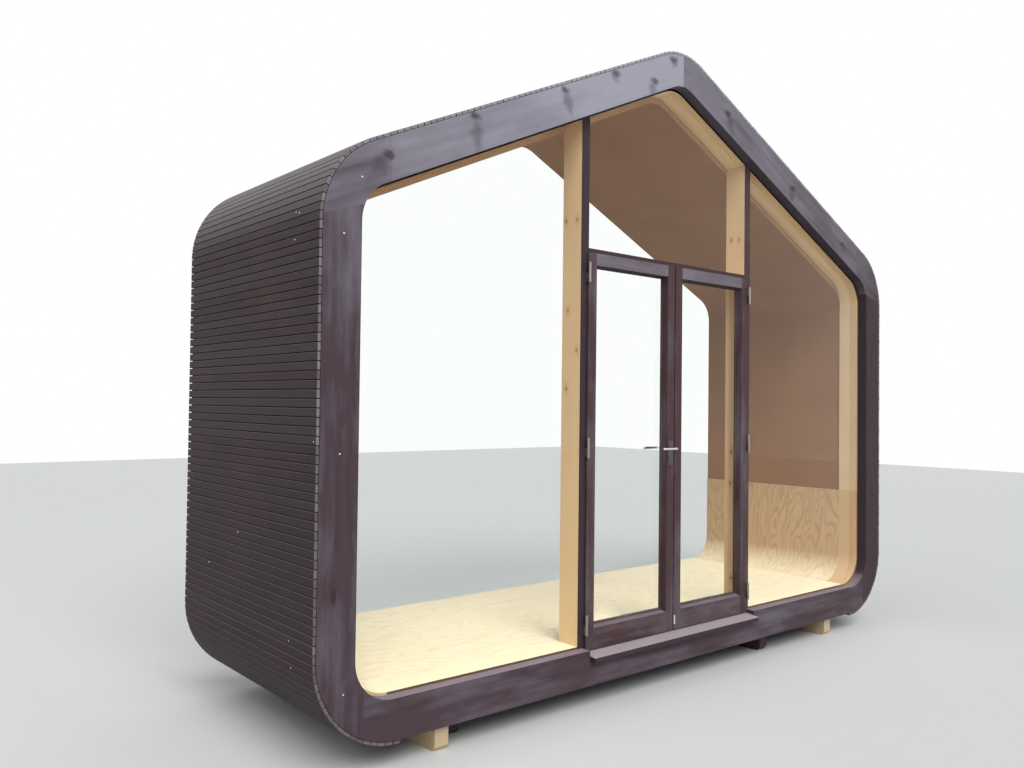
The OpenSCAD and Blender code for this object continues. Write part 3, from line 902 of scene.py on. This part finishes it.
def slats(name, numbers):
    """Copies of the slat along the outline, with a tone on each."""
    copies = []
    middle = (FRONT_Y + REAR_Y) / 2
    shrink = 1 - SHORTER * MM / (REAR_Y - FRONT_Y)
    for number in numbers:
        (x, z), angle = outer.at(number * SLAT_PITCH)
        sunk = (SUNK + rng.uniform(0, SUNK_MORE)) * MM
        slide = rng.uniform(-1, 1) * MM * SLIDE
        move = (
            Matrix.Translation((x, middle + slide, z))
            @ Matrix.Rotation(angle, 4, "Y")
            @ Matrix.Translation((0, 0, -sunk))
            @ Matrix.Diagonal((1, shrink, 1, 1))
            @ Matrix.Translation((0, -middle, 0))
        )
        slat = copy_of(model_slat, move)
        tone = slat.data.attributes.new("tone", "FLOAT", "FACE")
        tone.data.foreach_set("value", [rng.random()] * len(slat.data.polygons))
        copies.append(slat)
    return join(name, copies)


slats_left = slats("slats_left", range(-SLATS_A_SIDE, 0))
slats_right = slats("slats_right", range(0, SLATS_A_SIDE + 1))
bpy.data.objects.remove(model_slat)
for piece, node in ((slats_left, "cladding_left"), (slats_right, "cladding_right")):
    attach(piece, "pod")
    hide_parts(node)
print("slats:", 2 * SLATS_A_SIDE + 1, "triangles:", triangles(slats_left) + triangles(slats_right))

# %% [markdown]
# The cardboard sleeve and the membrane are ribbons: flat runs and round corners in turn. By hand
# one adds a plane for the floor, takes its end edge, spins it round each corner's centre and
# extrudes it along each run, until it meets the other end of the plane. The helper does that from
# the legs of an outline.

# %% Ribbon all round the outline
CORNER_STEPS = 18


def spin(centre, turn):
    """Spins what is selected about a centre in the front plane."""
    bpy.ops.mesh.spin(
        steps=CORNER_STEPS, angle=turn, center=(centre.x, 0, centre.y), axis=(0, 1, 0)
    )


def ribbon(name, shape, y0, y1):
    (ridge, _, _, roof_run), (eave, _, _, wall_run), (foot, _, _, floor_run) = shape.legs
    deselect()
    bpy.ops.mesh.primitive_plane_add(size=1, location=(0, (y0 + y1) / 2, foot.y - shape.radius))
    piece = named(name, (2 * floor_run, y1 - y0, 1))
    pick(piece, "edges", lambda e: min(v.co.x for v in e.verts) > 0)
    left_eave, left_foot = Vector((-eave.x, eave.y)), Vector((-foot.x, foot.y))
    angle, eave_turn = 0.0, math.pi / 2 - PITCH
    for centre, turn, run in (
        (foot, math.pi / 2, wall_run), (eave, eave_turn, roof_run), (ridge, 2 * PITCH, roof_run),
        (left_eave, eave_turn, wall_run), (left_foot, math.pi / 2, 0),
    ):
        spin(centre, turn)
        angle += turn
        if run:
            extrude(run * math.cos(angle), 0, run * math.sin(angle))
    weld()
    return piece


MEMBRANE_T, SUNK_IN = 0.6 * MM, 0.5 * MM
membrane_line = Outline(SLAT_T - SUNK_IN, OUTER_R - SLAT_T + SUNK_IN)
membrane = ribbon("membrane", membrane_line, FRONT_Y + MM, REAR_Y - MM)
make_active(membrane)
solidify = membrane.modifiers.new("Solidify", "SOLIDIFY")
solidify.thickness, solidify.offset = MEMBRANE_T, 0
bpy.ops.object.modifier_apply(modifier=solidify.name)
give(membrane, membrane_black)
smooth(membrane)
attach(membrane, "pod")
print("membrane:", triangles(membrane), "triangles")

# %% [markdown]
# The sleeve's inner corners are tighter than its outer ones and its roof is thicker, so one
# ribbon with an even thickness is not enough. Two ribbons, outer and inner, are joined and their
# front and rear rims bridged. Bridging two whole rings can pair them crosswise, so the long floor
# edges are bridged by themselves and the rest as open chains. The UV map is worked out from the
# same outlines: length round and depth along Y, or depth inside the wall on the rims. Primitives
# bring a map of their own. It is removed first, because a shader reads the first map it finds.

# %% Cardboard sleeve
def map_along(piece, shape_of, rim_finish=lambda face: 1):
    """UV map in metres that follows the outlines, on broad faces and on rims."""
    while piece.data.uv_layers:
        piece.data.uv_layers.remove(piece.data.uv_layers[0])
    layer = piece.data.uv_layers.new(name="UVMap")
    for face in piece.data.polygons:
        rim = abs(face.normal.y) > 0.5
        shape = shape_of(face)
        on_floor = abs(face.center.x) < shape.legs[2][3] and face.center.z < shape.legs[2][0].y
        for loop in face.loop_indices:
            x, y, z = piece.data.vertices[piece.data.loops[loop].vertex_index].co
            s, inset = shape.find(x, z)
            layer.data[loop].uv = (shape.half - x if on_floor else s, inset if rim else y)
        face.material_index = rim_finish(face) if rim else 0


sleeve = join(
    "sleeve",
    [
        ribbon("outside", sleeve_outer, SLEEVE_Y, REAR_Y),
        ribbon("inside", sleeve_inner, SLEEVE_Y, REAR_Y),
    ],
)
for rim_y in (SLEEVE_Y, REAR_Y):
    for floor_edge in (False, True):
        pick(
            sleeve, "edges",
            lambda e: all(abs(v.co.y - rim_y) < MM for v in e.verts)
            and (abs(e.verts[0].co.x - e.verts[1].co.x) > HALF_W) == floor_edge,
        )
        bpy.ops.mesh.bridge_edge_loops()
turn_outwards()


def sleeve_shape(face):
    depth = sleeve_outer.find(face.center.x, face.center.z)[1]
    inside = abs(face.normal.y) < 0.5 and depth > WALL_T / 2
    return sleeve_inner if inside else sleeve_outer


map_along(sleeve, sleeve_shape, lambda face: 1 if face.normal.y > 0 else 2)
give(sleeve, kraft, kraft_edge, kraft_tape)
smooth(sleeve)
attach(sleeve, "pod")
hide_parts("cardboard_sleeve")
print("sleeve:", triangles(sleeve), "triangles")

# %% [markdown]
# The wall lining is one thin plywood sheet, bent while it was glued on. The straight sheet is a
# box, and its lower end is spun about the corner's centre, as a steel strip is bent over a former.
# Its edges show the plies, so edge faces get a striped finish that reads the depth in the sheet.

# %% Bent plywood linings
VENEER = 1.6 * MM


def ply_edge_finish():
    finish = Finish("ply_edge")
    depth = finish.split(uv_place(finish))[1]
    ply = (depth / VENEER).part()
    cross = (depth / (2 * VENEER)).part().clip(0.49, 0.51)
    grain = finish.noise(uv_place(finish), (160, 900, 1))
    glue = 1 - (0.5 - abs(ply - 0.5)).clip(0.03, 0.09)
    colour = finish.layers(rgb(222, 194, 150), [
        (cross * 0.75 + (grain - 0.5) * 0.8, rgb(168, 124, 80)), (glue * 0.6, rgb(96, 66, 42)),
    ])
    return finish.painted(colour, 0.7, grain, 0.0003)


ply_edge = ply_edge_finish()


def lining(side):
    name = "lining_right" if side > 0 else "lining_left"
    low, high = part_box("ply_" + name)
    foot = lining_outer.legs[2][0]
    x = foot.x + lining_outer.radius
    sheet = add_box(name, (x - PLY_T, low.y, foot.y), (x, high.y, high.z))
    pick(sheet, "faces", looks(0, 0, -1))
    spin(foot, -math.pi / 2)
    pick(
        sheet, "faces",
        lambda f: f.normal.z < -SQUARE and abs(f.calc_center_median().z - foot.y) < MM,
    )
    bpy.ops.mesh.delete(type="FACE")
    weld()
    if side < 0:
        sheet.data.transform(Matrix.Diagonal((-1, 1, 1, 1)))
    pick(sheet, "faces", lambda f: True)
    turn_outwards()
    map_along(sheet, lambda face: lining_outer)
    give(sheet, wall_ply, ply_edge)
    smooth(sheet)
    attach(sheet, "pod")
    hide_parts("ply_" + name)
    return sheet


linings = [lining(-1), lining(1)]
print("linings:", [triangles(sheet) for sheet in linings], "triangles")

# %% [markdown]
# Bright screws hold the left face boards, and the other screws were sunk and filled. Their places
# are measured from the middle of the pod and from the underside of the sleeve. A screw head is a
# disc whose face is inset and pushed in for the driver, and whose rim is eased.

# %% Screws and fillings in the face boards
SCREWS = [(-2188, 2145), (-2107, 2394), (-2192, 1235), (-2158, 247)]
FILLINGS = [
    (1045, 83), (15, 48), (-1964, 102), (-1040, 60), (1975, 110), (2188, 1240), (2107, 2394),
]
SCREW_R, SCREW_H = 3.6 * MM, 1.4 * MM
PATCH_R, PATCH_H, PATCH_Y, PATCH_EASED = 5.5 * MM, 0.6 * MM, -0.2 * MM, 0.3 * MM
# Eased rim and depth of the driver's hollow as shares of the height, its rim as one of the radius
HEAD_EASED, HOLLOW_DEEP, HOLLOW_RIM = 0.45, 0.7, 0.3


def screw_head(name, radius, height):
    """A head that lies in the front plane, its underside at Y zero."""
    head = add_disc(name, (0, -height / 2, 0), radius, height)
    bevel(head, "faces", looks(0, -1, 0), height * HEAD_EASED, 2)
    bpy.ops.mesh.inset(thickness=radius * HOLLOW_RIM)
    extrude(0, height * HOLLOW_DEEP, 0)
    deselect()
    smooth(head)
    return head


def set_in_front(name, model, places, finish):
    copies = [copy_of(model, (x * MM, FRONT_Y, SLEEVE_Z + z * MM)) for x, z in places]
    piece = join(name, copies)
    give(piece, finish)
    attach(piece, "pod")


head = screw_head("screw", SCREW_R, SCREW_H)
set_in_front("face_screws", head, SCREWS, screw_steel)
patch = add_disc("patch", (0, PATCH_Y, 0), PATCH_R, PATCH_H)
bevel(patch, "faces", looks(0, -1, 0), PATCH_EASED, 1)
deselect()
set_in_front("filled_holes", patch, FILLINGS, filler)
bpy.data.objects.remove(patch)
print("screws:", len(SCREWS), "fillings:", len(FILLINGS))

# %% [markdown]
# A few slats show a bare nail head where they are fixed to the battens behind. The same head is
# made smaller and turned to face left. The places are depth and height on the left wall.

# %% Nail heads on the slats
NAILS = [
    (211, 2249), (179, 2242), (221, 2133), (211, 446), (187, 339), (751, 836), (1088, 648),
    (21, 1286),
]
NAIL_R, NAIL_H, NAIL_IN = 2.6 * MM, 0.8 * MM, 0.85 * MM
nail = screw_head("nail", NAIL_R, NAIL_H)
turned = Matrix.Rotation(-math.pi / 2, 4, "Z")
copies = []
for y, z in NAILS:
    place = Matrix.Translation((-HALF_W + NAIL_IN, FRONT_Y + y * MM, SLEEVE_Z + z * MM))
    copies.append(copy_of(nail, place @ turned))
nail_heads = join("nail_heads", copies)
give(nail_heads, screw_steel)
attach(nail_heads, "pod")
for model in (head, nail):
    bpy.data.objects.remove(model)
print("nails:", len(NAILS))

# %% [markdown]
# The glass of each leaf lies behind a small bevelled bead with a black sealing strip. Four mitred
# sticks would do, but a plane with the size of the opening, inset and pushed out, makes the same
# frame with true mitres in one piece.

# %% Glazing beads and sealing strips
def frame_ring(name, low, high, width, y_back, y_front, slope=0.0):
    """Ring that fills an opening in the front plane, width wide, its front inner edge eased."""
    middle = ((low[0] + high[0]) / 2, y_back, (low[1] + high[1]) / 2)
    deselect()
    bpy.ops.mesh.primitive_plane_add(size=1, location=middle, rotation=(math.pi / 2, 0, 0))
    ring = named(name, (high[0] - low[0], high[1] - low[1], 1))
    pick(ring, "faces", lambda f: True)
    bpy.ops.mesh.inset(thickness=width)
    bpy.ops.mesh.delete(type="FACE")
    bpy.ops.mesh.select_all(action="SELECT")
    extrude(0, y_front - y_back, 0)
    turn_outwards()
    reach = width - TOLERANCE

    def on_inner_rim(vert):
        x, y, z = vert.co
        inside = low[0] + reach < x < high[0] - reach and low[1] + reach < z < high[1] - reach
        return inside and abs(y - y_front) < TOLERANCE

    if slope:
        bevel(ring, "edges", lambda e: all(map(on_inner_rim, e.verts)), slope, 2)
        deselect()
    smooth(ring)
    return ring


BEAD_W, BEAD_DEEP, BEAD_SLOPE = 9 * MM, 11 * MM, 6 * MM
SEAL_W, SEAL_DEEP, RAIL_LIP = 2.5 * MM, 2 * MM, 3 * MM
for side in ("left", "right"):
    leaf = side + "_leaf"
    glass_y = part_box(side + "_door_glass")[0].y
    stiles = [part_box(side + "_hinge_stile"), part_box(side + "_lock_stile")]
    stiles.sort(key=lambda limits: limits[0].x)
    low = (stiles[0][1].x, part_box(side + "_bottom_rail")[1].z - RAIL_LIP)
    high = (stiles[1][0].x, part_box(side + "_top_rail")[0].z)
    bead = frame_ring(side + "_bead", low, high, BEAD_W, glass_y, glass_y - BEAD_DEEP, BEAD_SLOPE)
    seal = frame_ring(
        side + "_seal", (low[0] + BEAD_W, low[1] + BEAD_W), (high[0] - BEAD_W, high[1] - BEAD_W),
        SEAL_W, glass_y, glass_y - SEAL_DEEP,
    )
    for piece, finish, slot in ((bead, stain_upright, "door_timber"), (seal, rubber, "fittings")):
        give(piece, finish)
        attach(piece, leaf)
print("bead opening:", [round(v, 3) for v in low + high])

# %% [markdown]
# Small metal parts finish the doors: a domed cap on each hinge, a collar where the spindle leaves
# each plate, a key cylinder below the lever and two screws in each plate. They are turned parts,
# so each starts as a disc whose rim is bevelled. Only the cylinder's tail and keyway are boxes.

# %% Hinge caps
JOINTS = {joint["name"]: joint for joint in frame["joints"]}
HINGE_H, PIN_PLAY = 100 * MM, 0.3 * MM
LOW_HINGE_UP, HIGH_HINGE_DOWN = 134 * MM, 108 * MM
CAP_R, CAP_H, CAP_DOME = 7.5 * MM, 3.5 * MM, 2.4 * MM
leaf_low, leaf_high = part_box("left_hinge_stile")
hinge_low, hinge_high = leaf_low.z + LOW_HINGE_UP, leaf_high.z - HIGH_HINGE_DOWN
hinge_levels = [hinge_low, (hinge_low + hinge_high) / 2, hinge_high]


def hinge_caps(name, x, y, way, body):
    """A domed cap at the end of each hinge: way is 1 at the top and -1 underneath."""
    caps = []
    for level in hinge_levels:
        z = level + way * (HINGE_H + CAP_H) / 2 + (PIN_PLAY if way > 0 else 0)
        cap = add_disc("cap", (x, y, z), CAP_R, CAP_H, turn=(0, 0, 0))
        bevel(cap, "faces", looks(0, 0, way), CAP_DOME, 3)
        deselect()
        caps.append(cap)
    caps = join(name, caps)
    give(caps, hinge_steel)
    smooth(caps)
    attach(caps, body)


for side in ("left", "right"):
    x, y, _ = JOINTS[side + "_door_hinge"]["pos_m"]
    hinge_caps(side + "_upper_caps", x, y, 1, side + "_leaf")
    hinge_caps(side + "_lower_caps", x, y, -1, "pod")
print("hinge levels:", [round(z, 3) for z in hinge_levels])

# %% Collars, key cylinder and plate screws
COLLAR_R, COLLAR_H, BARREL_R, BARREL_H = 11 * MM, 6 * MM, 8.5 * MM, 2 * MM
COLLAR_EASED, COLLAR_WALL, COLLAR_SUNK, BARREL_EASED = 1.5 * MM, 3.2 * MM, 4 * MM, 0.6 * MM
KEY_DOWN, TAIL_DOWN, TAIL_HALF_W, TAIL_RISE, TAIL_ROUND = (v * MM for v in (62, 24, 5, 1.6, 4.5))
KEYWAY_HALF, KEYWAY_HALF_W, KEYWAY_RISE, KEYWAY_EASED = 4 * MM, 0.8 * MM, 2.3 * MM, 0.3 * MM
PLATE_SCREW_R, PLATE_SCREW_H = 2.8 * MM, 0.9 * MM
LOW_SCREW_UP, HIGH_SCREW_DOWN = 4.6 * MM, 9 * MM
plate_low, plate_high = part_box("handle_plates")
spindle = Vector(JOINTS["lever_turn"]["pos_m"])
plate_screw = screw_head("plate_screw", PLATE_SCREW_R, PLATE_SCREW_H)


def turned_part(name, y, z, way, radius, height, eased, segments):
    """A disc on the plate's face at y, which looks way, its rim eased. Edit mode stays open."""
    disc = add_disc(name, (spindle.x, y + way * height / 2, z), radius, height, sides=32)
    bevel(disc, "faces", looks(0, way, 0), eased, segments)
    return disc


def raised_box(name, y, rise, half, z_low, z_high):
    """A box on the plate's face at y, under or over the spindle."""
    low, high = min(y, y + rise), max(y, y + rise)
    return add_box(name, (spindle.x - half, low, z_low), (spindle.x + half, high, z_high))


fittings = []
for y, way in ((plate_low.y, -1), (plate_high.y, 1)):
    collar = turned_part("collar", y, spindle.z, way, COLLAR_R, COLLAR_H, COLLAR_EASED, 3)
    bpy.ops.mesh.inset(thickness=COLLAR_WALL)
    extrude(0, -way * COLLAR_SUNK, 0)
    key_z = spindle.z - KEY_DOWN
    barrel = turned_part("barrel", y, key_z, way, BARREL_R, BARREL_H, BARREL_EASED, 2)
    tail = raised_box("tail", y, way * TAIL_RISE, TAIL_HALF_W, key_z - TAIL_DOWN, key_z)
    bevel(
        tail, "edges",
        lambda e: abs((e.verts[0].co - e.verts[1].co).y) > MM and e.verts[0].co.z < key_z - MM,
        TAIL_ROUND, 6,
    )
    keyway = raised_box(
        "keyway", y, way * KEYWAY_RISE, KEYWAY_HALF_W, key_z - KEYWAY_HALF, key_z + KEYWAY_HALF
    )
    bevel(keyway, "edges", lambda e: True, KEYWAY_EASED, 1)
    fittings += [collar, barrel, tail, keyway]
    for z in (plate_low.z + LOW_SCREW_UP, plate_high.z - HIGH_SCREW_DOWN):
        face_out = Matrix.Rotation(math.pi, 4, "Z") if way > 0 else Matrix()
        fittings.append(copy_of(plate_screw, Matrix.Translation((spindle.x, y, z)) @ face_out))
deselect()
bpy.data.objects.remove(plate_screw)
# The lock parts take the plates' darker steel, a painted reflection
for piece in fittings:
    give(piece, rubber if piece.name.startswith("keyway") else plate_metal_painted_dark)
lock_parts = join("lock_parts", fittings)
smooth(lock_parts)
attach(lock_parts, "left_leaf")
print("lock parts:", triangles(lock_parts), "triangles")

# %% [markdown]
# When a door opens, a rubber strip shows on the frame, where the door's lip presses on it. It runs
# up both sides and across the top, and one more on the left door closes the gap between the two.
# Each strip is a box whose long edges are rounded, and it stands a little clear of the closed
# door, because a rigid drawing of a soft strip would cut in.

# %% Draught seals
LONG_EDGE, STRIP_ROUND = 60 * MM, 1.8 * MM


def round_strip(strip, chosen):
    """Rounds the long edges for which chosen is true."""
    bevel(
        strip, "edges",
        lambda e: e.calc_length() > LONG_EDGE and all(chosen(v.co) for v in e.verts),
        STRIP_ROUND, 4,
    )
    deselect()


STRIP_W, STRIP_DEEP, STRIP_IN, STRIP_UP = 6 * MM, 4 * MM, 3 * MM, 10 * MM
lip_low, lip_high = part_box("left_hinge_stile")
frame_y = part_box("mullion_left")[0].y
edge_x, edge_z = -lip_low.x - STRIP_IN, lip_high.z - STRIP_IN
strips = [
    add_box("strip", (x_low, frame_y - STRIP_DEEP, z_low), (x_high, frame_y, edge_z))
    for x_low, x_high, z_low in (
        (-edge_x, STRIP_W - edge_x, lip_low.z + STRIP_UP),
        (edge_x - STRIP_W, edge_x, lip_low.z + STRIP_UP),
        (STRIP_W - edge_x, edge_x - STRIP_W, edge_z - STRIP_W),
    )
]
for strip in strips:
    round_strip(strip, lambda place: place.y < frame_y - MM)
draught_seals = join("draught_seals", strips)
give(draught_seals, rubber)
smooth(draught_seals)
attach(draught_seals, "pod")
print("draught seals at x", round(edge_x, 3), "top z", round(edge_z, 3), "at y", round(frame_y, 3))

MEETING_IN, MEETING_HALF = 15 * MM, 5 * MM
LEFT_OVERLAP, RIGHT_CLEAR, LOW_CLEAR, TOP_CLEAR = 1.2 * MM, 0.6 * MM, 2 * MM, 4 * MM
gap_low, gap_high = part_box("left_lock_stile")[1].x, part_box("right_lock_stile")[0].x
meeting_y = lip_low.y + MEETING_IN
meeting_seal = add_box(
    "meeting_seal",
    (gap_low - LEFT_OVERLAP, meeting_y - MEETING_HALF, lip_low.z + LOW_CLEAR),
    (gap_high - RIGHT_CLEAR, meeting_y + MEETING_HALF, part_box("transom")[0].z - TOP_CLEAR),
)
round_strip(meeting_seal, lambda place: place.x > gap_high - MM)
give(meeting_seal, rubber)
smooth(meeting_seal)
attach(meeting_seal, "left_leaf")
print("gap between the doors:", round((gap_high - gap_low) / MM, 1), "mm")

# %% [markdown]
# The pod stands on a plain pale floor in soft light. A very soft sun high in front lights the
# front and the floor evenly out to the horizon, where an area lamp would fade with distance. A
# weak lamp from the left keeps the slats readable, and an even sky fills the rest. What the camera
# sees past the pod, through the glass or mirrored in it is plain white instead of the sky.

# %% Floor and sky
FLOOR_SIZE, SKY_LIGHT = 40, 0.45
deselect()
bpy.ops.mesh.primitive_plane_add(size=FLOOR_SIZE, location=(0, 0, 0))
ground = named("ground")
floor_finish = Finish("studio_floor")
speckle = floor_finish.noise(floor_finish.place(), 3.0, 3.0)
pale = floor_finish.mix((speckle - 0.5) * 0.3, rgb(226, 226, 224), rgb(214, 214, 213))
give(ground, floor_finish.painted(pale, 0.8))

studio = Finish("studio", "worlds")
bpy.context.scene.world = studio.owner
seen, through, mirrored = (
    studio.node("ShaderNodeLightPath", out=f"Is {ray} Ray")
    for ray in ("Camera", "Transmission", "Glossy")
)
sky, white = (
    studio.node("ShaderNodeBackground", None, {"Color": colour, "Strength": strength})
    for colour, strength in ((rgb(236, 241, 248), SKY_LIGHT), (rgb(255, 255, 255), 1.0))
)
shown = seen.larger(through).larger(mirrored)
either = studio.node("ShaderNodeMixShader", None, {0: shown, 1: sky, 2: white})
studio.node("ShaderNodeOutputWorld", None, {"Surface": either})
print("floor", FLOOR_SIZE, "m wide, sky strength", SKY_LIGHT)

# %% Lamps
SUN_POWER, SUN_SPREAD = 1.95, math.radians(40)
SIDE_POWER, SIDE_SIZE = 60, (4, 3)
SUN_PLACE, SUN_TARGET = (-1.6, -5.0, 7.0), (0, 0, 1.6)
SIDE_PLACE, SIDE_TARGET = (-6.5, -1.0, 4.5), (-2.0, 0, 2.0)


def aimed(place, target):
    """Matrix of a lamp at a place, which shines at a target."""
    way = Vector(target) - Vector(place)
    return Matrix.Translation(place) @ way.to_track_quat("-Z", "Y").to_matrix().to_4x4()


sun = bpy.data.lights.new("front_sun", "SUN")
sun.energy, sun.angle = SUN_POWER, SUN_SPREAD
into_scene("front_sun", sun, aimed(SUN_PLACE, SUN_TARGET))

side_light = bpy.data.lights.new("left_lamp", "AREA")
side_light.shape, side_light.energy = "RECTANGLE", SIDE_POWER
side_light.size, side_light.size_y = SIDE_SIZE
into_scene("left_lamp", side_light, aimed(SIDE_PLACE, SIDE_TARGET))
bpy.context.scene.view_settings.view_transform = "Standard"
print("lamps set, sun", SUN_POWER, "side", SIDE_POWER)
